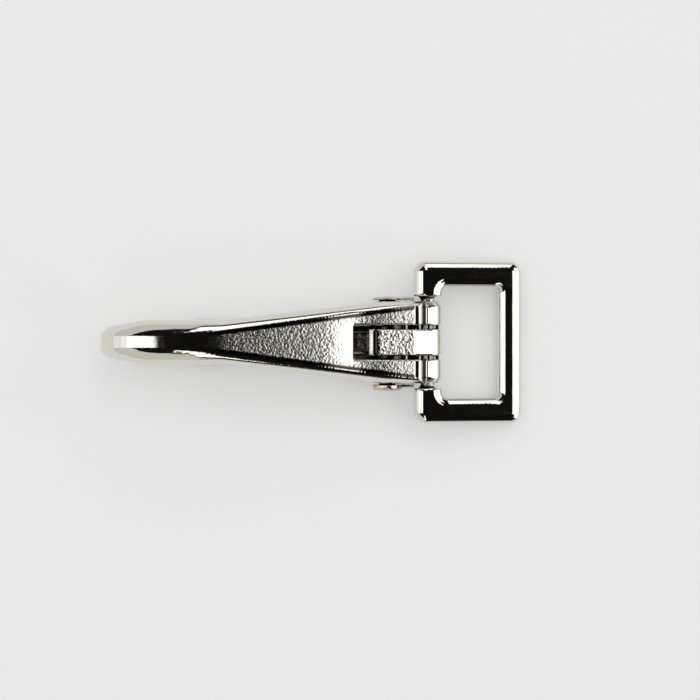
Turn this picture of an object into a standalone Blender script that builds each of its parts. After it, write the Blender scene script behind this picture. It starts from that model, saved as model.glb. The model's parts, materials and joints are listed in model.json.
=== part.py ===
"""Spring-gate snap hook with a hinged strap loop, modelled as its five separate pieces.

The hook lies as it does on a table: spine on top, with the nose, the two cheeks and the far bar of
the strap loop touching the table. +X runs towards the strap loop, +Y across and +Z up, in metres.
The pieces are drawn with the rivet axis at X = 0, and the root empty then centres the whole hook.
"""

import math

import bmesh
import bpy
from mathutils import Matrix, Vector

# Strap loop: a closed cast rectangle whose hinge bar necks down between the cheeks
STRAP_WIDTH = 0.0205
LOOP_OPENING = 0.0108
LOOP_HINGE_BAR = 0.0050
LOOP_SIDE_BAR = 0.0048
LOOP_FAR_BAR = 0.00435
LOOP_THICKNESS = 0.0040
LOOP_EDGE_WIDTH = 0.0017
LOOP_EDGE_DEPTH = 0.0012
LOOP_TOP_CORNER = 0.0003
LOOP_INNER_CORNER = 0.0011
NECK_DIAMETER = 0.0026
NECK_FLARE = 0.00055

# Hook casting: the bend, the spine and the nose
BEND_REACH = 0.0526
BEND_RADIUS = 0.0094
BEND_WIDTH = 0.0063
BEND_CROWN = 0.0021
SPINE_THICKNESS = 0.0044
SPINE_WIDTH = 0.0081
SPINE_SHOULDER = 0.0030
SPINE_FOOT = 0.0012
NOSE_WIDTH = 0.0058
NOSE_TIP_REACH = 0.0315
NOSE_TIP_TURN = math.radians(75)
LAP_LENGTH = 0.0055
LAP_SEAT = 0.0024

# Hook casting: the plate with its sunk panel, and the cheeks that hang from it
BODY_WIDTH = 0.0153
PLATE_START_REACH = 0.0290
PLATE_START_HEIGHT = 0.0173
PLATE_START_TILT = math.radians(12.4)
PLATE_END_HEIGHT = 0.0084
PLATE_TILT = math.radians(15.5)
DIP_REACH = 0.0045
DIP_LENGTH = 0.0040
DIP_DEPTH = 0.00025
PLATE_LIP = 0.0006
PLATE_SHOULDER = 0.0034
ROOF_THICKNESS = 0.0020
PANEL_WIDTH = 0.0139
PANEL_RECESS = 0.0001
PANEL_STEP = 0.0004
PANEL_END_STEP = 0.0008
PANEL_START = 0.0370
PANEL_FADE = 0.0100
PLATE_CHAMFER = 0.0006
FLARE_START = 0.0300
FLARE_END = 0.0005
CHEEK_START = 0.0270
CHEEK_WALL = 0.00165
CHEEK_FOOT = 0.0004
LOBE_RADIUS = 0.0043
LOBE_FRONT_SLOPE = math.radians(45)
HEEL_SLOPE = math.radians(26)
HEEL_PAD_THICKNESS = 0.0009
HEEL_PAD_PROUD = 0.0009
POCKET_REACH = 0.0235
POCKET_FULL_REACH = 0.0150

# Hook casting: the knuckles and the tongue that is curled over the hinge bar
LOOP_AXIS_FORWARD = 0.0075
LOOP_AXIS_HEIGHT = 0.0052
KNUCKLE_RADIUS = 0.00255
KNUCKLE_WIDTH = 0.0152
KNUCKLE_TILT = math.radians(17)
KNUCKLE_BEVEL_WIDTH = 0.0010
KNUCKLE_BEVEL_DEPTH = 0.0007
GROOVE_WIDTH = 0.0004
GROOVE_DEPTH = 0.0005
WEB_DROP = 0.0010
SLOT_WIDTH = 0.0063
SLOT_REACH = 0.0063
TONGUE_WIDTH = 0.0049
TONGUE_THICKNESS = 0.0010
TONGUE_TIP_ROUNDING = 0.0009
TONGUE_REACH = 0.0033
TONGUE_ROOT_ANGLE = math.radians(205)

# Gate: the sprung lever that closes the mouth between nose and spine
GATE_TIP_WIDTH = 0.0087
GATE_WAIST_WIDTH = 0.0066
GATE_WAIST_REACH = 0.0240
GATE_LOBE_LENGTH = 0.0050
GATE_TIP_ROUNDING = 0.0017
GATE_TIP_TAPER = 0.0014
GATE_HEAD_LIFT = 0.0008
GATE_TOP_AT_TIP = 0.0057
GATE_TOP_AT_HEAD = 0.0072
GATE_UNDERSIDE = 0.0010
GATE_ROUNDING = 0.0007
GATE_POCKET_WIDTH = 0.0058
GATE_POCKET_REACH = 0.0120

# Gate rivet: domed head on one side, rolled-over hollow end on the other
RIVET_SHANK_DIAMETER = 0.0030
RIVET_HEAD_DIAMETER = 0.0054
RIVET_ROLL_HEIGHT = 0.00115
RIVET_RIM_HEIGHT = 0.00065
RIVET_DOME_HEIGHT = 0.00070
RIVET_DOME_RIM = 0.00025
RIVET_HOLLOW_DIAMETER = 0.0016
RIVET_HOLLOW_DEPTH = 0.0030

# Gate spring: a torsion coil on the rivet, one leg under the roof and one on the gate's floor
WIRE_DIAMETER = 0.0007
COIL_RADIUS = 0.0023
COIL_GAP = 0.00045
COIL_TURNS = 3
ROOF_LEG_LENGTH = 0.0110
FLOOR_LEG_LENGTH = 0.0105

# Clearances
FIT = 0.0002
RUNNING = 0.0003
CUT_MARGIN = 0.0020

# Resolution
ARC_STEP = math.radians(9)
SHARP_ANGLE = math.radians(35)
BEND_STEPS = 46
WEB_SECTIONS = 4
LOBE_SECTIONS = 6
FLARE_SECTIONS = 28
SPINE_SECTIONS = 14
NOSE_SECTIONS = 5
POCKET_SECTIONS = 8
GATE_SECTIONS = 9
SHOULDER_STEPS = 6
EDGE_STEPS = 4
CORNER_STEPS = 4
ROUND_STEPS = 6
ROUND_SIDES = 40
CURL_POINTS = 10
HALVINGS = 30

# Places that follow from the sizes
QUARTER = math.pi / 2
RIVET_HEIGHT = LOBE_RADIUS
RIVET_AXIS = Vector((0, 0, RIVET_HEIGHT))
LOOP_AXIS = Vector((LOOP_AXIS_FORWARD, 0, LOOP_AXIS_HEIGHT))
BEND_CENTRE_X = BEND_RADIUS - BEND_REACH
NOTCH_RADIUS = NECK_DIAMETER / 2 + FIT
TONGUE_RADIUS = NOTCH_RADIUS + TONGUE_THICKNESS / 2
GATE_HEAD_RADIUS = LOBE_RADIUS - GATE_HEAD_LIFT
WEB_FRONT = GATE_HEAD_RADIUS + RUNNING
WEB_BACK = LOOP_AXIS_FORWARD - NOTCH_RADIUS
PLATE_END = WEB_BACK + PLATE_LIP
PLATE_RIM = PLATE_END - PLATE_CHAMFER
LOBE_FRONT = -LOBE_RADIUS * math.sin(LOBE_FRONT_SLOPE)
LOBE_HEEL = LOBE_RADIUS * math.sin(HEEL_SLOPE)
HEEL_PAD_START = RIVET_HEAD_DIAMETER / 2
HEEL_PAD_END = LOOP_AXIS_FORWARD - LOOP_HINGE_BAR / 2
LAP_SHOULDER = -NOSE_TIP_REACH - LAP_LENGTH
GATE_TIP = LAP_SHOULDER + RUNNING
RIVET_SEAT = BODY_WIDTH / 2 + FIT
COIL_PITCH = WIRE_DIAMETER + COIL_GAP
LOOP_REACH = LOOP_HINGE_BAR / 2 + LOOP_OPENING + LOOP_FAR_BAR
LOOP_SHOULDER = BODY_WIDTH / 2 + RUNNING


def clear_scene():
    for obj in list(bpy.data.objects):
        bpy.data.objects.remove(obj, do_unlink=True)


def collection_named(name):
    collection = bpy.data.collections.new(name)
    bpy.context.scene.collection.children.link(collection)
    return collection


def metal(name, colour, roughness):
    material = bpy.data.materials.new(name)
    material.use_nodes = True
    shader = material.node_tree.nodes["Principled BSDF"]
    shader.inputs["Base Color"].default_value = (*colour, 1)
    shader.inputs["Metallic"].default_value = 1
    shader.inputs["Roughness"].default_value = roughness
    return material


def mix(start, end, share):
    return start + (end - start) * min(max(share, 0), 1)


def hermite(share, start, end, start_slope, end_slope):
    """A cubic from start to end, with slopes per unit of share."""
    square, cube = share**2, share**3
    return (
        start * (2 * cube - 3 * square + 1)
        + end * (3 * square - 2 * cube)
        + start_slope * (cube - 2 * square + share)
        + end_slope * (cube - square)
    )


def steps(start, end, count):
    return [start + (end - start) * i / count for i in range(count + 1)]


def arc(centre, radius, start, end):
    """Points of a circular arc in a plane, both ends included."""
    count = max(2, math.ceil(abs(end - start) / ARC_STEP))
    return [
        (centre[0] + radius * math.cos(angle), centre[1] + radius * math.sin(angle))
        for angle in steps(start, end, count)
    ]


def add_object(name, mesh, collection, location=(0, 0, 0), parent=None):
    mesh.name = name
    obj = bpy.data.objects.new(name, mesh)
    collection.objects.link(obj)
    obj.location = location
    obj.parent = parent
    return obj


def finished_mesh(shape):
    bmesh.ops.recalc_face_normals(shape, faces=shape.faces)
    mesh = bpy.data.meshes.new("shape")
    shape.to_mesh(mesh)
    shape.free()
    return mesh


def loft(rings, closed=False):
    """A skin through equal rings of points, either joined back to its first ring or with flat ends."""
    shape = bmesh.new()
    loops = [[shape.verts.new(point) for point in ring] for ring in rings]
    pairs = list(zip(loops, loops[1:]))
    if closed:
        pairs.append((loops[-1], loops[0]))
    for near, far in pairs:
        for i in range(len(near)):
            j = (i + 1) % len(near)
            shape.faces.new((near[i], near[j], far[j], far[i]))
    if not closed:
        shape.faces.new(loops[0])
        shape.faces.new(loops[-1])
    return finished_mesh(shape)


def box(low, high):
    shape = bmesh.new()
    size = Vector(high) - Vector(low)
    middle = (Vector(high) + Vector(low)) / 2
    bmesh.ops.create_cube(shape, size=1, matrix=Matrix.Translation(middle) @ Matrix.Diagonal((*size, 1)))
    return finished_mesh(shape)


def cross_bar(radius, length):
    """A round bar along Y, centred on the origin."""
    shape = bmesh.new()
    turn = Matrix.Rotation(QUARTER, 4, "X")
    size = {"radius1": radius, "radius2": radius, "depth": length}
    bmesh.ops.create_cone(shape, cap_ends=True, segments=ROUND_SIDES, matrix=turn, **size)
    return finished_mesh(shape)


def turned_bar(profile):
    """A round bar along Y, from places along it with their radii."""
    turns = steps(0, math.tau, ROUND_SIDES)[:-1]
    return loft([[(r * math.cos(turn), y, r * math.sin(turn)) for turn in turns] for y, r in profile])


def side_outline(outline, width):
    """A closed outline in (x, z) points, extruded both ways across Y."""
    curve = bpy.data.curves.new("outline", "CURVE")
    curve.dimensions = "2D"
    curve.fill_mode = "BOTH"
    curve.extrude = width / 2
    spline = curve.splines.new("POLY")
    spline.points.add(len(outline) - 1)
    for point, (along, up) in zip(spline.points, outline):
        point.co = (along, up, 0, 1)
    spline.use_cyclic_u = True
    guide = bpy.data.objects.new("outline", curve)
    bpy.context.scene.collection.objects.link(guide)
    mesh = bpy.data.meshes.new_from_object(guide.evaluated_get(bpy.context.evaluated_depsgraph_get()))
    bpy.data.objects.remove(guide, do_unlink=True)
    mesh.transform(Matrix.Rotation(QUARTER, 4, "X"))
    shape = bmesh.new()
    shape.from_mesh(mesh)
    bmesh.ops.remove_doubles(shape, verts=shape.verts, dist=FIT / 100)
    bpy.data.meshes.remove(mesh)
    return finished_mesh(shape)


def boolean(obj, operation, mesh, name, cutters, location=(0, 0, 0)):
    """Cuts a helper from an object, or joins it on. The helper is placed in the object's own frame."""
    helper = add_object(name, mesh, cutters, location, obj)
    helper.hide_render = True
    helper.display_type = "WIRE"
    modifier = obj.modifiers.new(name, "BOOLEAN")
    modifier.operation = operation
    modifier.object = helper


def finish(obj, material):
    obj.data.materials.append(material)
    obj.data.shade_smooth()
    obj.data.set_sharp_from_angle(angle=SHARP_ANGLE)


def crown_height(x):
    """Top line of spine and plate: level at the bend, then a nearly straight fall, dipped at the slot."""
    fall = math.tan(PLATE_START_TILT)
    if x < -PLATE_START_REACH:
        run = -PLATE_START_REACH - BEND_CENTRE_X
        share = (x - BEND_CENTRE_X) / run
        return hermite(share, 2 * BEND_RADIUS, PLATE_START_HEIGHT, 0, -fall * run)
    run = PLATE_END + PLATE_START_REACH
    share = (x + PLATE_START_REACH) / run
    line = hermite(share, PLATE_START_HEIGHT, PLATE_END_HEIGHT, -fall * run, -math.tan(PLATE_TILT) * run)
    return line - DIP_DEPTH * math.exp(-(((x + DIP_REACH) / DIP_LENGTH) ** 2))


def foot_height(x):
    """Lower edge of spine and cheeks: under the spine, round the rivet lobe, then up to the heel."""
    if x <= -CHEEK_START:
        return crown_height(x) - SPINE_THICKNESS
    if x < LOBE_FRONT:
        run = LOBE_FRONT + CHEEK_START
        start = crown_height(-CHEEK_START) - SPINE_THICKNESS
        end = RIVET_HEIGHT - LOBE_RADIUS * math.cos(LOBE_FRONT_SLOPE)
        start_slope = (crown_height(-CHEEK_START + FIT) - crown_height(-CHEEK_START)) / FIT
        end_slope = -math.tan(LOBE_FRONT_SLOPE)
        return hermite((x + CHEEK_START) / run, start, end, start_slope * run, end_slope * run)
    if x <= LOBE_HEEL:
        return RIVET_HEIGHT - math.sqrt(LOBE_RADIUS**2 - x**2)
    return RIVET_HEIGHT - LOBE_RADIUS * math.cos(HEEL_SLOPE) + (x - LOBE_HEEL) * math.tan(HEEL_SLOPE)


def half_width(x):
    """Plan outline of spine and plate: narrow spine, straight flare, parallel cheeks."""
    return mix(SPINE_WIDTH, BODY_WIDTH, (x + FLARE_START) / (FLARE_START - FLARE_END)) / 2


def body_ring(outer, inner, crown, half, shoulder, foot, recess):
    """One section of the casting, from its outer line to its inner line, in (x, z) points."""
    depth = math.dist(outer, inner)
    profile = [(0, recess), (crown - min(PANEL_STEP, crown / 2), recess), (crown, 0)]
    for turn in steps(0, QUARTER, SHOULDER_STEPS)[1:]:
        profile.append((mix(crown, half, math.sin(turn)), shoulder * (1 - math.cos(turn))))
    for turn in steps(0, QUARTER, CORNER_STEPS):
        profile.append((half - foot * (1 - math.cos(turn)), depth - foot * (1 - math.sin(turn))))
    profile.append((0, depth))
    mirrored = [(-across, down) for across, down in profile[-2:0:-1]]
    ring = []
    for across, down in profile + mirrored:
        share = down / depth
        ring.append((mix(outer[0], inner[0], share), across, mix(outer[1], inner[1], share)))
    return ring


def plate_rings():
    """Upright sections from the plate's chamfered end back to where the bend begins."""
    places = [PLATE_END, PLATE_RIM, PLATE_RIM - PANEL_END_STEP]
    places += steps(WEB_FRONT, 0, WEB_SECTIONS)
    places += steps(0, LOBE_FRONT, LOBE_SECTIONS)[1:]
    places += steps(LOBE_FRONT, -CHEEK_START, FLARE_SECTIONS)[1:]
    places += steps(-FLARE_START, BEND_CENTRE_X, SPINE_SECTIONS)
    rings = []
    for x in places:
        behind = (x + PANEL_START) / (PLATE_END + PANEL_START)
        panel = min((x + PANEL_START) / PANEL_FADE, (PLATE_RIM - x) / PANEL_END_STEP)
        cheek = (x + FLARE_START) / (FLARE_START - POCKET_FULL_REACH)
        drop = PLATE_CHAMFER if x == PLATE_END else 0
        rings.append(
            body_ring(
                outer=(x, crown_height(x) - drop),
                inner=(x, foot_height(x)),
                crown=mix(BEND_CROWN, PANEL_WIDTH, behind) / 2,
                half=half_width(x),
                shoulder=mix(SPINE_SHOULDER, PLATE_SHOULDER, cheek),
                foot=mix(SPINE_FOOT, CHEEK_FOOT, cheek),
                recess=mix(0, PANEL_RECESS, panel),
            )
        )
    return rings


def bend_rings():
    """Sections fanned round the bend, narrowest at its outermost point."""
    rings = []
    for i in range(1, BEND_STEPS):
        turn = math.pi * i / BEND_STEPS
        nearest = NOSE_WIDTH if turn > QUARTER else SPINE_WIDTH
        half = mix(nearest, BEND_WIDTH, math.sin(turn)) / 2
        direction = (-math.sin(turn), math.cos(turn))
        outer, inner = (
            (BEND_CENTRE_X + radius * direction[0], BEND_RADIUS + radius * direction[1])
            for radius in (BEND_RADIUS, BEND_RADIUS - SPINE_THICKNESS)
        )
        rings.append(body_ring(outer, inner, BEND_CROWN / 2, half, SPINE_SHOULDER, SPINE_FOOT, 0))
    return rings


def nose_rings():
    """Upright sections along the nose, drawn in to a rounded tip."""
    rings = []
    full = -NOSE_TIP_REACH - NOSE_WIDTH / 2
    places = [(x, 0) for x in steps(BEND_CENTRE_X, full, NOSE_SECTIONS)]
    for turn in steps(0, NOSE_TIP_TURN, ROUND_STEPS)[1:]:
        places.append((full + NOSE_WIDTH / 2 * math.sin(turn), 1 - math.cos(turn)))
    for x, narrowing in places:
        half = NOSE_WIDTH / 2 * (1 - narrowing)
        lift = LAP_SEAT / 2 * narrowing
        crown = min(BEND_CROWN / 2, half / 2)
        outer, inner = (x, lift), (x, SPINE_THICKNESS)
        shoulder = min(SPINE_SHOULDER, LAP_SEAT / 2)
        rings.append(body_ring(outer, inner, crown, half, shoulder, min(SPINE_FOOT, half / 2), 0))
    return rings


def heel_pad_outline():
    """Side view of the pads that stand out from the cheeks between rivet and loop, along the heel."""
    ends = (HEEL_PAD_START, HEEL_PAD_END)
    lower = [(x, foot_height(x) + RUNNING) for x in ends]
    return lower + [(x, up + HEEL_PAD_THICKNESS) for x, up in reversed(lower)]


def knuckle_outline(inset):
    """Side view of a knuckle: behind a groove, a flat facet like the plate's, rolled down over the bar."""
    facet = QUARTER - KNUCKLE_TILT
    centre = (LOOP_AXIS.x, LOOP_AXIS.z)
    roll = arc(centre, KNUCKLE_RADIUS - inset, -QUARTER, facet)
    front = PLATE_END + GROOVE_WIDTH
    top = roll[-1][1] + (roll[-1][0] - front) * math.tan(KNUCKLE_TILT)
    back = (WEB_FRONT + WEB_BACK) / 2
    floor = top - GROOVE_DEPTH
    return roll + [(front, top), (front, floor), (back, floor), (back, roll[0][1])]


def knuckle_rings():
    """The knuckles' side view, carried across the hook and drawn in at both ends."""
    half = KNUCKLE_WIDTH / 2
    full = half - KNUCKLE_BEVEL_WIDTH
    places = ((-half, KNUCKLE_BEVEL_DEPTH), (-full, 0), (full, 0), (half, KNUCKLE_BEVEL_DEPTH))
    return [[(x, y, z) for x, z in knuckle_outline(inset)] for y, inset in places]


def notch_outline():
    """Side view of the seat that the hinge bar drops into, open below."""
    roof = arc((LOOP_AXIS.x, LOOP_AXIS.z), NOTCH_RADIUS, 0, math.pi)
    floor = -CUT_MARGIN
    return roof + [(roof[-1][0], floor), (roof[0][0], floor)]


def tongue_outline():
    """Side view of the tongue: from the web, under and round the hinge bar, and back to a rounded tip."""
    centre = (LOOP_AXIS.x, LOOP_AXIS.z)
    leave = math.tau + QUARTER - PLATE_TILT
    under = arc(centre, TONGUE_RADIUS - TONGUE_THICKNESS / 2, TONGUE_ROOT_ANGLE, leave)
    over = arc(centre, TONGUE_RADIUS + TONGUE_THICKNESS / 2, TONGUE_ROOT_ANGLE, leave)
    length = (over[-1][0] + TONGUE_REACH) / math.cos(PLATE_TILT)
    rounding = min(TONGUE_TIP_ROUNDING, TONGUE_THICKNESS)
    up = Vector((math.sin(PLATE_TILT), math.cos(PLATE_TILT)))
    back = Vector((-math.cos(PLATE_TILT), math.sin(PLATE_TILT)))
    tip_centre = Vector(over[-1]) + back * (length - rounding) - up * rounding
    tip = arc(tip_centre, rounding, QUARTER - PLATE_TILT, math.pi - PLATE_TILT)
    tip_under = Vector(under[-1]) + back * length
    return over + tip + [tuple(tip_under)] + under[::-1]


def pocket_rings():
    """The hollow under the plate: ramped at the front, then full height between the cheeks."""
    rings = []
    places = [-POCKET_REACH] + steps(-POCKET_FULL_REACH, -FLARE_END, POCKET_SECTIONS) + [WEB_FRONT]
    for x in places:
        half = half_width(x) - CHEEK_WALL
        roof = crown_height(x) - ROOF_THICKNESS
        if x == -POCKET_REACH:
            roof = foot_height(x) + RUNNING
        floor = -CUT_MARGIN
        rings.append([(x, -half, floor), (x, half, floor), (x, half, roof), (x, -half, roof)])
    return rings


def make_hook_body(parts, cutters, root, material):
    body = add_object("hook_body", loft(plate_rings() + bend_rings() + nose_rings()), parts, parent=root)
    beyond = LOOP_AXIS_FORWARD + KNUCKLE_RADIUS + CUT_MARGIN
    above = 2 * BEND_RADIUS + CUT_MARGIN
    across = BODY_WIDTH / 2 + CUT_MARGIN
    boolean(body, "UNION", loft(knuckle_rings()), "knuckles", cutters)
    heel_pads = side_outline(heel_pad_outline(), BODY_WIDTH + 2 * HEEL_PAD_PROUD)
    boolean(body, "UNION", heel_pads, "heel_pads", cutters)
    boolean(body, "DIFFERENCE", loft(pocket_rings()), "gate_pocket", cutters)
    slot_floor = LOOP_AXIS_HEIGHT - WEB_DROP
    slot = box((-SLOT_REACH, -SLOT_WIDTH / 2, slot_floor), (beyond, SLOT_WIDTH / 2, above))
    boolean(body, "DIFFERENCE", slot, "tongue_slot", cutters)
    boolean(body, "DIFFERENCE", side_outline(notch_outline(), 2 * across), "hinge_notch", cutters)
    boolean(body, "UNION", side_outline(tongue_outline(), TONGUE_WIDTH), "tongue", cutters)
    rivet_hole = cross_bar(RIVET_SHANK_DIAMETER / 2 + FIT, 2 * across)
    boolean(body, "DIFFERENCE", rivet_hole, "rivet_hole", cutters, RIVET_AXIS)
    lap_end = CUT_MARGIN - NOSE_TIP_REACH
    lap_top = SPINE_THICKNESS + CUT_MARGIN
    lap = box((LAP_SHOULDER, -NOSE_WIDTH, LAP_SEAT), (lap_end, NOSE_WIDTH, lap_top))
    boolean(body, "DIFFERENCE", lap, "nose_lap", cutters)
    finish(body, material)


def gate_half_width(x):
    """Plan outline of the gate: inside the cheeks, waisted under the spine, swelling at the tip."""
    if x > -GATE_WAIST_REACH:
        inside = half_width(x) - CHEEK_WALL - RUNNING
        at_waist = half_width(-GATE_WAIST_REACH) - CHEEK_WALL - RUNNING
        return inside - at_waist + min(at_waist, GATE_WAIST_WIDTH / 2)
    waist = min(half_width(-GATE_WAIST_REACH) - CHEEK_WALL - RUNNING, GATE_WAIST_WIDTH / 2)
    swell_end = GATE_TIP + GATE_LOBE_LENGTH
    share = (-GATE_WAIST_REACH - x) / (-GATE_WAIST_REACH - swell_end)
    eased = mix(0, 1, share) ** 2
    return mix(waist, GATE_TIP_WIDTH / 2, eased)


def gate_ring(x, half, low, high):
    """One upright section of the gate, with rounded corners, about the rivet axis."""
    corner = min(GATE_ROUNDING, half / 2, (high - low) / 3)
    near, far = corner - half, half - corner
    top, bottom = high - corner - RIVET_HEIGHT, low + corner - RIVET_HEIGHT
    ring = []
    for i, (y, z) in enumerate(((far, top), (near, top), (near, bottom), (far, bottom))):
        for turn in steps(i * QUARTER, (i + 1) * QUARTER, CORNER_STEPS):
            ring.append((x, y + corner * math.cos(turn), z + corner * math.sin(turn)))
    return ring


def gate_rings():
    """Upright sections from the rounded tip to the head on the rivet."""
    head_low = RIVET_HEIGHT - GATE_HEAD_RADIUS
    rounded = GATE_TIP + GATE_TIP_ROUNDING
    lobe_end = GATE_TIP + GATE_LOBE_LENGTH
    places = [mix(rounded, GATE_TIP, math.cos(turn)) for turn in steps(0, QUARTER, ROUND_STEPS)]
    places += steps(rounded, lobe_end, CORNER_STEPS)[1:]
    places += steps(lobe_end, -GATE_WAIST_REACH, GATE_SECTIONS)[1:]
    places += steps(-GATE_WAIST_REACH, 0, GATE_SECTIONS)[1:]
    rings = []
    for x in places:
        along = (x - GATE_TIP) / -GATE_TIP
        end = mix(0, 1, (rounded - x) / GATE_TIP_ROUNDING)
        draw = 1 - math.sqrt(1 - end**2)
        low = mix(mix(GATE_UNDERSIDE, head_low, along), LAP_SEAT + RUNNING, draw)
        high = mix(GATE_TOP_AT_TIP, GATE_TOP_AT_HEAD, along) - GATE_ROUNDING * draw
        rings.append(gate_ring(x, gate_half_width(x) - GATE_TIP_TAPER * draw, low, high))
    return rings


def make_gate(parts, cutters, root, material):
    gate = add_object("gate", loft(gate_rings()), parts, RIVET_AXIS, root)
    head_width = 2 * (half_width(-GATE_HEAD_RADIUS) - CHEEK_WALL - RUNNING)
    boolean(gate, "UNION", cross_bar(GATE_HEAD_RADIUS, head_width), "gate_head", cutters)
    chamber = COIL_RADIUS + WIRE_DIAMETER / 2 + RUNNING
    boolean(gate, "DIFFERENCE", cross_bar(chamber, GATE_POCKET_WIDTH), "coil_chamber", cutters)
    pocket = box(
        (-GATE_POCKET_REACH, -GATE_POCKET_WIDTH / 2, -chamber),
        (COIL_RADIUS / 2, GATE_POCKET_WIDTH / 2, GATE_HEAD_RADIUS + CUT_MARGIN),
    )
    boolean(gate, "DIFFERENCE", pocket, "leg_pocket", cutters)
    hole = cross_bar(RIVET_SHANK_DIAMETER / 2 + FIT, BODY_WIDTH)
    boolean(gate, "DIFFERENCE", hole, "pivot_hole", cutters)
    fork_half = NOSE_WIDTH / 2 + RUNNING
    fork = box(
        (GATE_TIP - CUT_MARGIN, -fork_half, -RIVET_HEIGHT - CUT_MARGIN),
        (RUNNING - NOSE_TIP_REACH, fork_half, LAP_SEAT + RUNNING - RIVET_HEIGHT),
    )
    boolean(gate, "DIFFERENCE", fork, "nose_fork", cutters)
    finish(gate, material)


def rounded_rectangle(low, high, radius, z):
    """A closed line of points round a level rectangle, with arcs at its corners."""
    corners = (
        (high[0] - radius, high[1] - radius),
        (low[0] + radius, high[1] - radius),
        (low[0] + radius, low[1] + radius),
        (high[0] - radius, low[1] + radius),
    )
    points = []
    for i, centre in enumerate(corners):
        points += arc(centre, radius, i * QUARTER, (i + 1) * QUARTER)
    return [(*point, z) for point in points]


def loop_rings():
    """Lines round the loop, one for each point of its round-edged section: outside first, then inside."""
    wall = LOOP_THICKNESS / 2 - LOOP_EDGE_DEPTH
    side = STRAP_WIDTH / 2
    upper = []
    for turn in steps(0, QUARTER, EDGE_STEPS):
        upper.append((LOOP_EDGE_WIDTH * (1 - math.cos(turn)), wall + LOOP_EDGE_DEPTH * math.sin(turn)))
    section = [(inset, -z) for inset, z in reversed(upper)] + upper
    rings = []
    for inset, z in section:
        low = (inset - LOOP_HINGE_BAR / 2, inset - side - LOOP_SIDE_BAR)
        high = (LOOP_REACH - inset, side + LOOP_SIDE_BAR - inset)
        rings.append(rounded_rectangle(low, high, LOOP_TOP_CORNER + LOOP_EDGE_WIDTH - inset, z))
    for outset, z in reversed(section):
        low = (LOOP_HINGE_BAR / 2 - outset, -side - outset)
        high = (LOOP_HINGE_BAR / 2 + LOOP_OPENING + outset, side + outset)
        rings.append(rounded_rectangle(low, high, LOOP_INNER_CORNER + outset, z))
    return rings


def make_strap_loop(parts, cutters, root, material):
    """The loop is drawn level about its hinge axis, then tilted until its far bar meets the table."""
    loop = add_object("strap_loop", loft(loop_rings(), closed=True), parts, LOOP_AXIS, root)
    loop.rotation_euler.y = loop_rest_tilt()
    flare = LOOP_SHOULDER + NECK_FLARE
    end = flare + NECK_DIAMETER
    gap = box((-LOOP_HINGE_BAR, -flare, -LOOP_THICKNESS), (LOOP_HINGE_BAR, flare, LOOP_THICKNESS))
    boolean(loop, "DIFFERENCE", gap, "neck_gap", cutters)
    thin, thick = NECK_DIAMETER / 2, LOOP_THICKNESS / 2 - FIT
    half_profile = [(LOOP_SHOULDER, thin), (flare, thick), (end, thick)]
    neck = turned_bar([(-y, r) for y, r in reversed(half_profile)] + half_profile)
    boolean(loop, "UNION", neck, "neck", cutters)
    finish(loop, material)


def loop_rest_tilt():
    """How far the loop hangs below level before its far bar touches the table, found by halving."""
    points = [point for ring in loop_rings() for point in ring]
    low, high = 0, QUARTER
    for _ in range(HALVINGS):
        tilt = (low + high) / 2
        drop = max(x * math.sin(tilt) - z * math.cos(tilt) for x, _, z in points)
        low, high = (tilt, high) if drop < LOOP_AXIS_HEIGHT else (low, tilt)
    return low


def make_gate_rivet(parts, root, material):
    """A turned profile, run from the rolled end down to the domed head."""
    shank = RIVET_SHANK_DIAMETER / 2
    head = RIVET_HEAD_DIAMETER / 2
    hollow = RIVET_HOLLOW_DIAMETER / 2
    top = RIVET_SEAT + RIVET_ROLL_HEIGHT
    rim = RIVET_SEAT + RIVET_RIM_HEIGHT
    roll = RIVET_ROLL_HEIGHT - RIVET_RIM_HEIGHT
    dome_rim = RIVET_SEAT + RIVET_DOME_RIM
    dome = RIVET_DOME_HEIGHT - RIVET_DOME_RIM
    profile = [(0, top - RIVET_HOLLOW_DEPTH), (hollow, top - RIVET_HOLLOW_DEPTH), (hollow, rim)]
    for turn in steps(math.pi, 0, ROUND_STEPS):
        middle = (hollow + head) / 2
        reach = (head - hollow) / 2
        profile.append((middle + reach * math.cos(turn), rim + roll * math.sin(turn)))
    profile += [(head, RIVET_SEAT), (shank, RIVET_SEAT), (shank, -RIVET_SEAT), (head, -RIVET_SEAT)]
    for turn in steps(0, QUARTER, ROUND_STEPS):
        profile.append((head * math.cos(turn), -dome_rim - dome * math.sin(turn)))
    shape = bmesh.new()
    points = [shape.verts.new((across, 0, along)) for across, along in profile]
    for first, second in zip(points, points[1:]):
        if (first.co - second.co).length > 0:
            shape.edges.new((first, second))
    mesh = bpy.data.meshes.new("profile")
    bmesh.ops.remove_doubles(shape, verts=shape.verts, dist=FIT / 100)
    shape.to_mesh(mesh)
    shape.free()
    rivet = add_object("gate_rivet", mesh, parts, RIVET_AXIS, root)
    rivet.rotation_euler.x = QUARTER
    screw = rivet.modifiers.new("turned", "SCREW")
    screw.steps = ROUND_SIDES
    screw.render_steps = ROUND_SIDES
    screw.use_merge_vertices = True
    screw.merge_threshold = FIT / 100
    screw.use_smooth_shade = True
    rivet.data.materials.append(material)


def roof_leg_end(slope):
    """Where the roof leg ends, about the rivet axis, if it leaves the coil at this slope."""
    along = COIL_RADIUS * math.sin(slope) - ROOF_LEG_LENGTH * math.cos(slope)
    return along, COIL_RADIUS * math.cos(slope) + ROOF_LEG_LENGTH * math.sin(slope)


def roof_leg_slope():
    """The slope at which the end of the roof leg bears on the roof of the pocket, found by halving."""
    low, high = 0, QUARTER
    for _ in range(HALVINGS):
        slope = (low + high) / 2
        along, up = roof_leg_end(slope)
        room = crown_height(along) - ROOF_THICKNESS - RIVET_HEIGHT - up
        low, high = (slope, high) if room > WIRE_DIAMETER / 2 + RUNNING else (low, slope)
    return low


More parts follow.
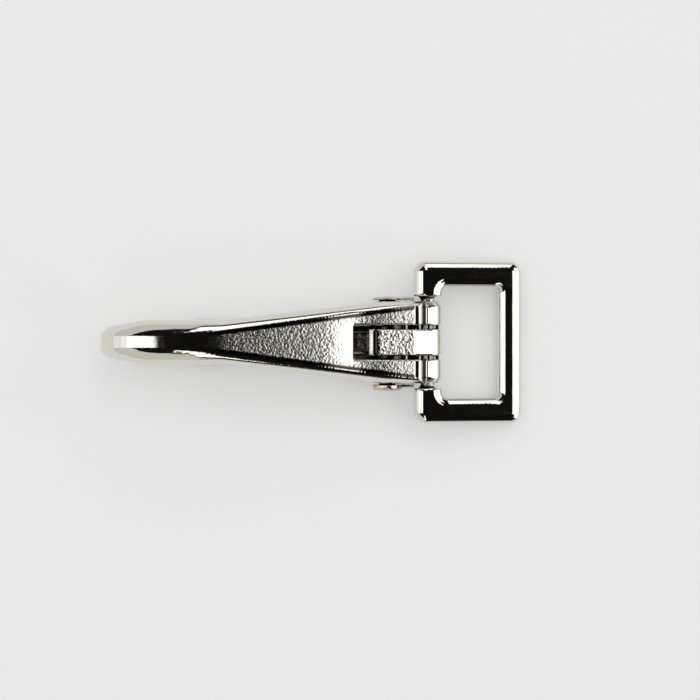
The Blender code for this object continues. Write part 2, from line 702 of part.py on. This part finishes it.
def spring_path():
    """Floor leg, coil and roof leg as one line of points about the rivet axis."""
    slope = roof_leg_slope()
    turn_total = math.tau * COIL_TURNS + math.pi - slope
    length = COIL_PITCH * turn_total / math.tau
    first = -QUARTER
    count = math.ceil(CURL_POINTS * turn_total / math.tau)
    coil = []
    for i in range(count + 1):
        share = i / count
        angle = first + turn_total * share
        across = length / 2 - length * share
        coil.append(Vector((COIL_RADIUS * math.cos(angle), across, COIL_RADIUS * math.sin(angle))))
    floor_end = coil[0] - Vector((FLOOR_LEG_LENGTH, 0, 0))
    along, up = roof_leg_end(slope)
    return [floor_end] + coil + [Vector((along, -length / 2, up))]


def least_gap(path):
    """Smallest clear distance between stretches of the wire that aren't neighbours along it."""
    half_turn = CURL_POINTS // 2
    least = math.inf
    for i, point in enumerate(path):
        for other in path[i + half_turn :]:
            least = min(least, (point - other).length)
    return least - WIRE_DIAMETER


def make_gate_spring(parts, root, material):
    path = spring_path()
    curve = bpy.data.curves.new("gate_spring", "CURVE")
    curve.dimensions = "3D"
    curve.bevel_depth = WIRE_DIAMETER / 2
    curve.bevel_resolution = 1
    curve.use_fill_caps = True
    spline = curve.splines.new("POLY")
    spline.points.add(len(path) - 1)
    for point, place in zip(spline.points, path):
        point.co = (*place, 1)
    add_object("gate_spring", curve, parts, RIVET_AXIS, root)
    curve.materials.append(material)
    print(f"gate_spring: least gap between turns {1000 * least_gap(path):.2f} mm")


def centre_on_table(root, parts):
    """Moves the root so that the origin lies under the middle of the hook, on the table."""
    bpy.context.view_layer.update()
    graph = bpy.context.evaluated_depsgraph_get()
    points = []
    for obj in parts.objects:
        if obj.type != "EMPTY":
            ready = obj.evaluated_get(graph)
            points += [ready.matrix_world @ vertex.co for vertex in ready.to_mesh().vertices]
            ready.to_mesh_clear()
    for axis in (0, 1):
        places = [point[axis] for point in points]
        root.location[axis] = -(min(places) + max(places)) / 2
    root.location.z = -min(point.z for point in points)


def main():
    clear_scene()
    parts = collection_named("snap_hook")
    cutters = collection_named("cutters")
    root = bpy.data.objects.new("snap_hook_root", None)
    parts.objects.link(root)
    nickel = metal("nickel_plate", colour=(0.66, 0.62, 0.56), roughness=0.12)
    loop_nickel = metal("loop_nickel_plate", colour=(0.68, 0.65, 0.60), roughness=0.10)
    gate_nickel = metal("gate_nickel_plate", colour=(0.64, 0.60, 0.54), roughness=0.14)
    rivet_steel = metal("rivet_steel", colour=(0.62, 0.59, 0.55), roughness=0.22)
    spring_steel = metal("spring_steel", colour=(0.42, 0.41, 0.40), roughness=0.30)
    make_hook_body(parts, cutters, root, nickel)
    make_strap_loop(parts, cutters, root, loop_nickel)
    make_gate(parts, cutters, root, gate_nickel)
    make_gate_rivet(parts, root, rivet_steel)
    make_gate_spring(parts, root, spring_steel)
    centre_on_table(root, parts)


main()
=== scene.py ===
"""Looks of the snap hook: soft-edged nickel-plated castings, a turned rivet and a wound spring.

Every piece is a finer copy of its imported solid. Sizes and places are in metres, in the part's own frame.
"""

import json
import math

import bmesh
import bpy
import numpy as np
from mathutils import Matrix, Vector


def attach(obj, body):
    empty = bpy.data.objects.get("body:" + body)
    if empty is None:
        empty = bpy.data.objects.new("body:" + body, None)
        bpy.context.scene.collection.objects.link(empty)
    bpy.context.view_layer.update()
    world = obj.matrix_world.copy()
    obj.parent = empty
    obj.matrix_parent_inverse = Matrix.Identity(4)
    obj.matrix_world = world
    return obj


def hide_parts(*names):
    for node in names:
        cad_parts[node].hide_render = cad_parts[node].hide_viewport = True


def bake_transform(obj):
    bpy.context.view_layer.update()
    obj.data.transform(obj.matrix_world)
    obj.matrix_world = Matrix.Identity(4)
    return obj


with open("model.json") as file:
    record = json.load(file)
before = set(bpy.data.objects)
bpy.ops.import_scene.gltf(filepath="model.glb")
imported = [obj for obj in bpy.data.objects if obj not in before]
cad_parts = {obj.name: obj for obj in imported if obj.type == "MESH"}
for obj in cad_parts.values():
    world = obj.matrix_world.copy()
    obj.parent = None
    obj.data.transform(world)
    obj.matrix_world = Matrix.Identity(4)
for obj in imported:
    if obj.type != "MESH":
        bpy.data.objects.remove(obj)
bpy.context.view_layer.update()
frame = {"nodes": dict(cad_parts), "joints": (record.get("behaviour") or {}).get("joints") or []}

# Photograph: its size in pixels, and how it looks down on the hook
IMAGE_SIDE = 700
PIXEL = 0.000184
RIVET_PIXEL = (387.4, 342.3)
CAMERA_DISTANCE = 0.386
SCALE_HEIGHT = 0.008
SENSOR = 36

# Finer copies: their grids, the rounds of smoothing that soften their edges, and the scale they are made at
CAST_GRID = 0.00016
CAST_ROUNDS = 11
RIVET_GRID = 0.00009
RIVET_ROUNDS = 4
SMOOTH_FACTOR = 0.5
WELD = 0.000002
MILLI = 0.001

# Spring wire: the bend up to which facets count as one face, and how often these are halved
FACET_ANGLE = math.radians(40)
ANY_SHAPE = math.radians(180)
WIRE_LEVELS = 2

# Metals: bright and dull colour
NICKEL = ((0.78, 0.765, 0.70), (0.72, 0.70, 0.63))
RIVET_STEEL = ((0.72, 0.68, 0.62), (0.50, 0.38, 0.29))
SPRING_STEEL = ((0.48, 0.47, 0.46), (0.36, 0.35, 0.34))

# Metals: roughness where they are most and least polished
BODY_GLOSS = (0.04, 0.09)
LOOP_GLOSS = (0.03, 0.08)
GATE_GLOSS = (0.06, 0.15)
RIVET_GLOSS = (0.10, 0.24)
SPRING_GLOSS = (0.2, 0.4)

# Metals: patches of colour, specks of gloss, and the gentle waves of a plated casting
PATCHES = {"size": 0.006, "detail": 3}
SPECKS = {"size": 0.0007, "detail": 4, "roughness": 0.7}
SPECK_RANGE = (0.3, 0.75)
WAVES = {"size": 0.0030, "detail": 1}
WAVE_DEPTH = 0.000020

# Recesses, deep and fine: how near their walls stand, how closed they are, and the brown painted shade laid
# in them
RECESSES = ((0.0060, 0.25, 0.58), (0.0008, 0.30, 0.70))
AIR_SAMPLES = 8
PAINTED_SHADE_BROWN = (0.036, 0.026, 0.020)

# Cast grain: its crinkles, where along the casting it sets in and dies out, and how level a grainy face lies
CRINKLES = {"size": 0.00048, "detail": 1, "roughness": 0.4, "distortion": 0.3}
GRAIN_DEPTH = 0.00005
GRAIN_SETS_IN = (-0.0215, -0.0125)
GRAIN_DIES_OUT = (0.0186, 0.0190)
GRAIN_UPRIGHT = (0.80, 0.92)

# Sunk panel of the plate: place and half width of both ends, width of its edge, its grain and satin gloss
PANEL_NARROW = (-0.02318, 0.00065)
PANEL_WIDE = (0.02042, 0.00655)
PANEL_EDGE = 0.00045
PANEL_GRAIN = 1.3
PANEL_SATIN = 0.20

# Spot on the panel before the slot, worn smooth
WORN_SPOT = 0.0066
WORN_REACH = (0.0028, 0.0056)
WORN_SHARE = 0.75

# Tongue and heel pads, grainy like the panel
TONGUE_START = 0.0110
TONGUE_HALF = 0.0026
TONGUE_GRAIN = 3.8
TONGUE_GRAIN_SETS_IN = (0.0119, 0.0125)
HEEL_PAD = 0.00785

# Rims: how far their feet and the shoulder behind them are smoothed into the panel, and how level they lie
RIM_FOOT = 0.0007
RIM_FOOT_ROUNDS = 14
SHOULDER = -0.0235
SHOULDER_REACH = 0.0080
RIM_UPRIGHT = (0.40, 0.70)

# Painted dark lines, standing in for shade and dark reflections, at the rims' feet, at the tongue's tip and
# in the groove before the knuckles
FOOT_SPREAD = (0.00020, 0.00045)
TIP_LINE = 0.01168
TIP_SPREAD = (0.00024, 0.00042)
GROOVE_LINE = 0.0207
GROOVE_SPREAD = (0.00012, 0.00028)
LINE_DARK = 0.98

# Studio: white panels round a dark ceiling, each by its ranges of direction in x and y, and its level
PANELS = (
    ((0.51, 0.62), (-0.17, 0.17), 1.70),
    ((0.62, 1.1), (-0.60, 0.48), 1.50),
    ((0.08, 0.43), (0.40, 0.88), 1.50),
    ((0.24, 0.37), (0.20, 0.45), 1.50),
    ((0.065, 0.195), (-0.88, -0.30), 1.50),
    ((-0.80, -0.045), (-0.10, 0.13), 1.50),
    ((-0.94, -0.80), (-0.10, 0.13), 1.15),
    ((-1.1, -0.94), (-0.10, 0.13), 1.00),
)
PANEL_SOFT = 0.008

# Studio: pale walls on both sides of the ceiling, each by its side, its edge over the hook and its lean
WALLS = ((1, 0.745, 0.83), (-1, 0.64, 0.80))
WALL_LEVEL = 0.66
WALL_END = 0.05

# Studio: ceiling, the brighter band above the horizon, and the backdrop
CEILING = 0.006
HORIZON = 0.42
HORIZON_HEIGHT = (0.10, 0.30)
BACKDROP = 0.80

# Floor: pale paper, and the share of the backdrop's light that it shows to camera and metal
FLOOR_SIDE = 12
FLOOR_COLOUR = (0.85, 0.85, 0.85)
FLOOR_ROUGHNESS = 0.9
FLOOR_SPECULAR = 0.1
FLOOR_GLOW = 0.45

# Key lamp
KEY_FROM = Vector((0.10, 0.40, 1.0))
KEY_DISTANCE = 1.2
KEY_SIDE = 2.4
KEY_POWER = 13.3


def node(tree, kind, inputs=None, **settings):
    """Adds a node, sets its properties, and fills or links its sockets."""
    made = tree.nodes.new(kind)
    for name, value in settings.items():
        setattr(made, name, value)
    for key, value in (inputs or {}).items():
        if isinstance(value, bpy.types.NodeSocket):
            tree.links.new(value, made.inputs[key])
        else:
            made.inputs[key].default_value = value
    return made


def math_node(tree, operation, *values):
    return node(tree, "ShaderNodeMath", dict(enumerate(values)), operation=operation).outputs[0]


def ramp(tree, value, low, high, start=0, end=1):
    """Runs smoothly from start to end as value goes from low to high."""
    inputs = {"Value": value, "From Min": low, "From Max": high, "To Min": start, "To Max": end}
    return node(tree, "ShaderNodeMapRange", inputs, interpolation_type="SMOOTHSTEP").outputs["Result"]


def window(tree, value, low, high):
    """1 where value lies between low and high, with soft edges."""
    enters = ramp(tree, value, low - PANEL_SOFT, low + PANEL_SOFT)
    leaves = ramp(tree, value, high - PANEL_SOFT, high + PANEL_SOFT, 1, 0)
    return math_node(tree, "MULTIPLY", enters, leaves)


def noise(tree, place, size, detail, roughness=0.5, distortion=0):
    """Noise whose patches are about size across."""
    inputs = {
        "Vector": place,
        "Scale": 1 / size,
        "Detail": detail,
        "Roughness": roughness,
        "Distortion": distortion,
    }
    return node(tree, "ShaderNodeTexNoise", inputs).outputs["Fac"]


def blend_colour(tree, share, first, second):
    """Mixes two colours, the second of which may be a socket."""
    mixed = node(tree, "ShaderNodeMix", {"Factor": share}, data_type="RGBA")
    colour_sockets = [socket for socket in mixed.inputs if socket.type == "RGBA"]
    colour_sockets[0].default_value = (*first, 1)
    if isinstance(second, bpy.types.NodeSocket):
        tree.links.new(second, colour_sockets[1])
    else:
        colour_sockets[1].default_value = (*second, 1)
    return next(socket for socket in mixed.outputs if socket.type == "RGBA")


def blend_value(tree, share, first, second):
    inputs = {"Factor": share, "A": first, "B": second}
    return node(tree, "ShaderNodeMix", inputs, data_type="FLOAT").outputs["Result"]


def bumped(tree, height, depth, normal=None):
    inputs = {"Height": height, "Distance": depth}
    if normal is not None:
        inputs["Normal"] = normal
    return node(tree, "ShaderNodeBump", inputs).outputs["Normal"]


def painted(tree, name):
    """What the mesh's points say under a name."""
    return node(tree, "ShaderNodeAttribute", attribute_name=name).outputs["Fac"]


def outside_painted_shade(tree):
    """1 on open faces, 0 in recesses, where brown painted shade is laid."""
    shares = []
    for reach, closed, clear in RECESSES:
        air = node(tree, "ShaderNodeAmbientOcclusion", {"Distance": reach}, samples=AIR_SAMPLES).outputs["AO"]
        shares.append(ramp(tree, air, closed, clear))
    return math_node(tree, "MULTIPLY", *shares)


def plated_metal(name, colours, roughness, grainy=False):
    """Metal: slightly patchy, gently wavy as plated castings are, and grainy where its points say, with brown
    painted shade in its recesses and along the painted dark lines its points mark.
    """
    material = bpy.data.materials.new(name)
    material.use_nodes = True
    tree = material.node_tree
    shader = tree.nodes["Principled BSDF"]
    shader.inputs["Metallic"].default_value = 1
    place = node(tree, "ShaderNodeTexCoord").outputs["Object"]
    plate = blend_colour(tree, noise(tree, place, **PATCHES), *colours)
    unshaded = outside_painted_shade(tree)
    gloss = ramp(tree, noise(tree, place, **SPECKS), *SPECK_RANGE, *roughness)
    normal = bumped(tree, noise(tree, place, **WAVES), WAVE_DEPTH)
    if grainy:
        crinkles = math_node(tree, "MULTIPLY", noise(tree, place, **CRINKLES), painted(tree, "grain"))
        normal = bumped(tree, crinkles, GRAIN_DEPTH, normal)
        gloss = blend_value(tree, painted(tree, "satin"), gloss, PANEL_SATIN)
        # Painted shade: the painted dark lines darken the casting here, where shade and dark reflections
        # fall.
        unshaded = math_node(tree, "MULTIPLY", unshaded, painted(tree, "free_of_painted_lines"))
    # Painted shade: the brown-black colour goes into recesses and onto the painted dark lines, standing in
    # for the shade and dark reflections there.
    tree.links.new(blend_colour(tree, unshaded, PAINTED_SHADE_BROWN, plate), shader.inputs["Base Color"])
    tree.links.new(gloss, shader.inputs["Roughness"])
    tree.links.new(normal, shader.inputs["Normal"])
    return material


def replacement(piece, cad_node, body, material):
    """Puts a finished piece in the place of its solid."""
    piece.data.materials.clear()
    piece.data.materials.append(material)
    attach(piece, body)
    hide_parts(cad_node)


def solid_copy(name, cad_node):
    """A new object with a welded copy of a solid's mesh."""
    mesh = frame["nodes"][cad_node].data.copy()
    mesh.name = name
    shape = bmesh.new()
    shape.from_mesh(mesh)
    bmesh.ops.remove_doubles(shape, verts=shape.verts, dist=WELD)
    shape.to_mesh(mesh)
    shape.free()
    piece = bpy.data.objects.new(name, mesh)
    bpy.context.scene.collection.objects.link(piece)
    return piece


def applied(piece):
    """Gives a piece the mesh that its modifiers make."""
    graph = bpy.context.evaluated_depsgraph_get()
    mesh = bpy.data.meshes.new_from_object(piece.evaluated_get(graph))
    piece.modifiers.clear()
    piece.data = mesh
    mesh.shade_smooth()


def softened(name, cad_node, grid, rounds):
    """A fine copy of a solid whose edges are rounded off, as plating and tumbling leave them."""
    piece = solid_copy(name, cad_node)
    piece.data.transform(Matrix.Scale(1 / MILLI, 4))
    remesh = piece.modifiers.new("grid", "REMESH")
    remesh.mode = "VOXEL"
    remesh.voxel_size = grid / MILLI
    smooth = piece.modifiers.new("soft_edges", "SMOOTH")
    smooth.factor = SMOOTH_FACTOR
    smooth.iterations = rounds
    applied(piece)
    piece.data.transform(Matrix.Scale(MILLI, 4))
    return piece


def rising(values, low, high):
    """Smooth step of an array from 0 at low to 1 at high."""
    share = np.clip((values - low) / (high - low), 0, 1)
    return share * share * (3 - 2 * share)


def falling(values, full, none):
    """Smooth step of an array from 1 at full to 0 at none."""
    return rising(values, none, full)


def panel_places(mesh):
    """Each point's place along and across, how upright it faces, and how far inside the sunk panel it is."""
    count = len(mesh.vertices)
    places, normals = np.zeros(3 * count), np.zeros(3 * count)
    mesh.vertices.foreach_get("co", places)
    mesh.vertices.foreach_get("normal", normals)
    along, across, up = places[0::3], np.abs(places[1::3]), normals[2::3]
    half = np.interp(along, (PANEL_NARROW[0], PANEL_WIDE[0]), (PANEL_NARROW[1], PANEL_WIDE[1]))
    return along, across, up, half - across


def flow_rims(piece):
    """Lets the rims flow into the sunk panel, as a cast edge does."""
    along, _, up, inside = panel_places(piece.data)
    at_foot = falling(np.abs(inside), 0, RIM_FOOT)
    on_shoulder = falling(np.abs(along - SHOULDER), 0, SHOULDER_REACH)
    on_plate = rising(up, *RIM_UPRIGHT) * falling(along, *GRAIN_DIES_OUT)
    shares = np.maximum(at_foot, on_shoulder) * on_plate
    group = piece.vertex_groups.new(name="rim_feet")
    for index in np.flatnonzero(shares > 0):
        group.add([int(index)], float(shares[index]), "REPLACE")
    smooth = piece.modifiers.new("rim_feet", "SMOOTH")
    smooth.vertex_group = group.name
    smooth.factor = SMOOTH_FACTOR
    smooth.iterations = RIM_FOOT_ROUNDS
    applied(piece)


def paint_casting(piece):
    """Writes at each point how grainy the casting is, how satin, and how free it is of the painted dark lines
    that stand in for shade and dark reflections.
    """
    mesh = piece.data
    along, across, up, inside = panel_places(mesh)
    in_reach = rising(along, *GRAIN_SETS_IN) * falling(along, *GRAIN_DIES_OUT)
    on_tongue = (along > TONGUE_START) & (across < TONGUE_HALF)
    in_panel = rising(inside, 0, PANEL_EDGE)
    on_pad = rising(across, HEEL_PAD, HEEL_PAD + PANEL_EDGE)
    rough = np.maximum(in_panel, on_pad) * in_reach * rising(up, *GRAIN_UPRIGHT)
    unworn = 1 - WORN_SHARE * falling(np.hypot(along - WORN_SPOT, across), *WORN_REACH)
    tongue_grain = TONGUE_GRAIN * rising(along, *TONGUE_GRAIN_SETS_IN)
    # Painted shade: dark lines at the rims' feet, the tongue's tip and the groove stand in for the shade and
    # dark reflections there.
    foot = falling(np.abs(inside), *FOOT_SPREAD) * in_reach
    tip = falling(np.abs(along - TIP_LINE), *TIP_SPREAD) * on_tongue
    groove = falling(np.abs(along - GROOVE_LINE), *GROOVE_SPREAD) * (across > TONGUE_HALF)
    lines = np.maximum.reduce((foot, tip, groove)) * rising(up, *RIM_UPRIGHT)
    paints = {
        "grain": rough * np.where(on_tongue, tongue_grain, PANEL_GRAIN * unworn),
        "satin": rough * np.where(on_tongue, 0, unworn),
        "free_of_painted_lines": 1 - LINE_DARK * lines,
    }
    for name, values in paints.items():
        attribute = mesh.attributes.new(name, "FLOAT", "POINT")
        attribute.data.foreach_set("value", values.astype(np.float32))


def make_castings():
    body = softened("hook_casting", "hook_body", CAST_GRID, CAST_ROUNDS)
    flow_rims(body)
    paint_casting(body)
    plate = plated_metal("body_nickel_plate", NICKEL, BODY_GLOSS, grainy=True)
    replacement(body, "hook_body", "hook", plate)
    loop = softened("loop_casting", "strap_loop", CAST_GRID, CAST_ROUNDS)
    plate = plated_metal("loop_nickel_plate", NICKEL, LOOP_GLOSS)
    replacement(loop, "strap_loop", "strap_loop", plate)
    gate = softened("gate_casting", "gate", CAST_GRID, CAST_ROUNDS)
    plate = plated_metal("gate_nickel_plate", NICKEL, GATE_GLOSS)
    replacement(gate, "gate", "gate", plate)


def make_rivet():
    rivet = softened("rivet_turned", "gate_rivet", RIVET_GRID, RIVET_ROUNDS)
    steel = plated_metal("rivet_plate", RIVET_STEEL, RIVET_GLOSS)
    replacement(rivet, "gate_rivet", "hook", steel)


def make_spring():
    """The wound wire, rounded up from the solid."""
    spring = solid_copy("spring_wire", "gate_spring")
    shape = bmesh.new()
    shape.from_mesh(spring.data)
    bmesh.ops.join_triangles(
        shape,
        faces=shape.faces,
        angle_face_threshold=FACET_ANGLE,
        angle_shape_threshold=ANY_SHAPE,
    )
    shape.to_mesh(spring.data)
    shape.free()
    finer = spring.modifiers.new("round", "SUBSURF")
    finer.levels = WIRE_LEVELS
    finer.render_levels = WIRE_LEVELS
    applied(spring)
    spring.data.materials.clear()
    spring.data.materials.append(plated_metal("spring_wire_steel", SPRING_STEEL, SPRING_GLOSS))
    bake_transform(spring)
    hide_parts("gate_spring")


def make_floor():
    """A sheet of pale paper, which keeps the hook's shadow."""
    bpy.ops.mesh.primitive_plane_add(size=FLOOR_SIDE)
    floor = bpy.context.object
    floor.name = "floor"
    material = bpy.data.materials.new("pale_paper")
    material.use_nodes = True
    tree = material.node_tree
    shader = tree.nodes["Principled BSDF"]
    shader.inputs["Base Color"].default_value = (*FLOOR_COLOUR, 1)
    shader.inputs["Roughness"].default_value = FLOOR_ROUGHNESS
    shader.inputs["Specular IOR Level"].default_value = FLOOR_SPECULAR
    paths = node(tree, "ShaderNodeLightPath").outputs
    seen = math_node(tree, "MAXIMUM", paths["Is Camera Ray"], paths["Is Glossy Ray"])
    share = math_node(tree, "MULTIPLY", seen, FLOOR_GLOW)
    glow = node(tree, "ShaderNodeEmission", {"Color": (BACKDROP, BACKDROP, BACKDROP, 1)}).outputs[0]
    lit = node(tree, "ShaderNodeMixShader", {0: share, 1: shader.outputs[0], 2: glow}).outputs[0]
    tree.links.new(lit, tree.nodes["Material Output"].inputs["Surface"])
    floor.data.materials.append(material)


def make_studio():
    """White panels, pale walls and a dark ceiling, which the polished metal shows, and a plain backdrop."""
    world = bpy.data.worlds.new("studio")
    bpy.context.scene.world = world
    world.use_nodes = True
    tree = world.node_tree
    direction = node(tree, "ShaderNodeTexCoord").outputs["Generated"]
    parts = node(tree, "ShaderNodeSeparateXYZ", {"Vector": direction}).outputs
    level = ramp(tree, parts["Z"], *HORIZON_HEIGHT, HORIZON, CEILING)
    before_end = ramp(tree, parts["X"], WALL_END - PANEL_SOFT, WALL_END + PANEL_SOFT, WALL_LEVEL, 0)
    for side, edge, lean in WALLS:
        leaning = math_node(tree, "MULTIPLY", parts["X"], -lean)
        across = math_node(tree, "MULTIPLY_ADD", parts["Y"], side, leaning)
        beyond = ramp(tree, across, edge - PANEL_SOFT, edge + PANEL_SOFT)
        level = math_node(tree, "MAXIMUM", level, math_node(tree, "MULTIPLY", beyond, before_end))
    for along, across, brightness in PANELS:
        within_x = window(tree, parts["X"], *along)
        within_y = window(tree, parts["Y"], *across)
        inside = math_node(tree, "MULTIPLY", within_x, within_y)
        level = math_node(tree, "MAXIMUM", level, math_node(tree, "MULTIPLY", inside, brightness))
    seen = node(tree, "ShaderNodeLightPath").outputs["Is Camera Ray"]
    background = tree.nodes["Background"]
    background.inputs["Color"].default_value = (1, 1, 1, 1)
    tree.links.new(blend_value(tree, seen, level, BACKDROP), background.inputs["Strength"])


def make_key_light():
    """A wide soft lamp overhead, a little behind the hook, so that its faint shadow falls in front."""
    lamp = bpy.data.lights.new("key", "AREA")
    lamp.energy = KEY_POWER
    lamp.size = KEY_SIDE
    key = bpy.data.objects.new("key", lamp)
    bpy.context.scene.collection.objects.link(key)
    key.location = KEY_DISTANCE * KEY_FROM.normalized()
    key.rotation_euler = KEY_FROM.to_track_quat("Z", "Y").to_euler()
    key.visible_glossy = False


def make_camera(rivet):
    """Straight above, with the photograph's framing: the rivet's axis is at a known pixel."""
    data = bpy.data.cameras.new("camera")
    data.sensor_width = SENSOR
    data.lens = SENSOR * CAMERA_DISTANCE / (IMAGE_SIDE * PIXEL)
    camera = bpy.data.objects.new("camera", data)
    bpy.context.scene.collection.objects.link(camera)
    middle = IMAGE_SIDE / 2
    along = rivet.x + (middle - RIVET_PIXEL[0]) * PIXEL
    across = rivet.y + (RIVET_PIXEL[1] - middle) * PIXEL
    camera.location = (along, across, SCALE_HEIGHT + CAMERA_DISTANCE)
    bpy.context.scene.camera = camera


make_castings()
make_rivet()
make_spring()
make_floor()
make_studio()
make_key_light()
gate_pivot = next(joint for joint in frame["joints"] if joint["name"] == "gate_pivot")
make_camera(Vector(gate_pivot["pos_m"]))
bpy.context.scene.view_settings.view_transform = "Standard"
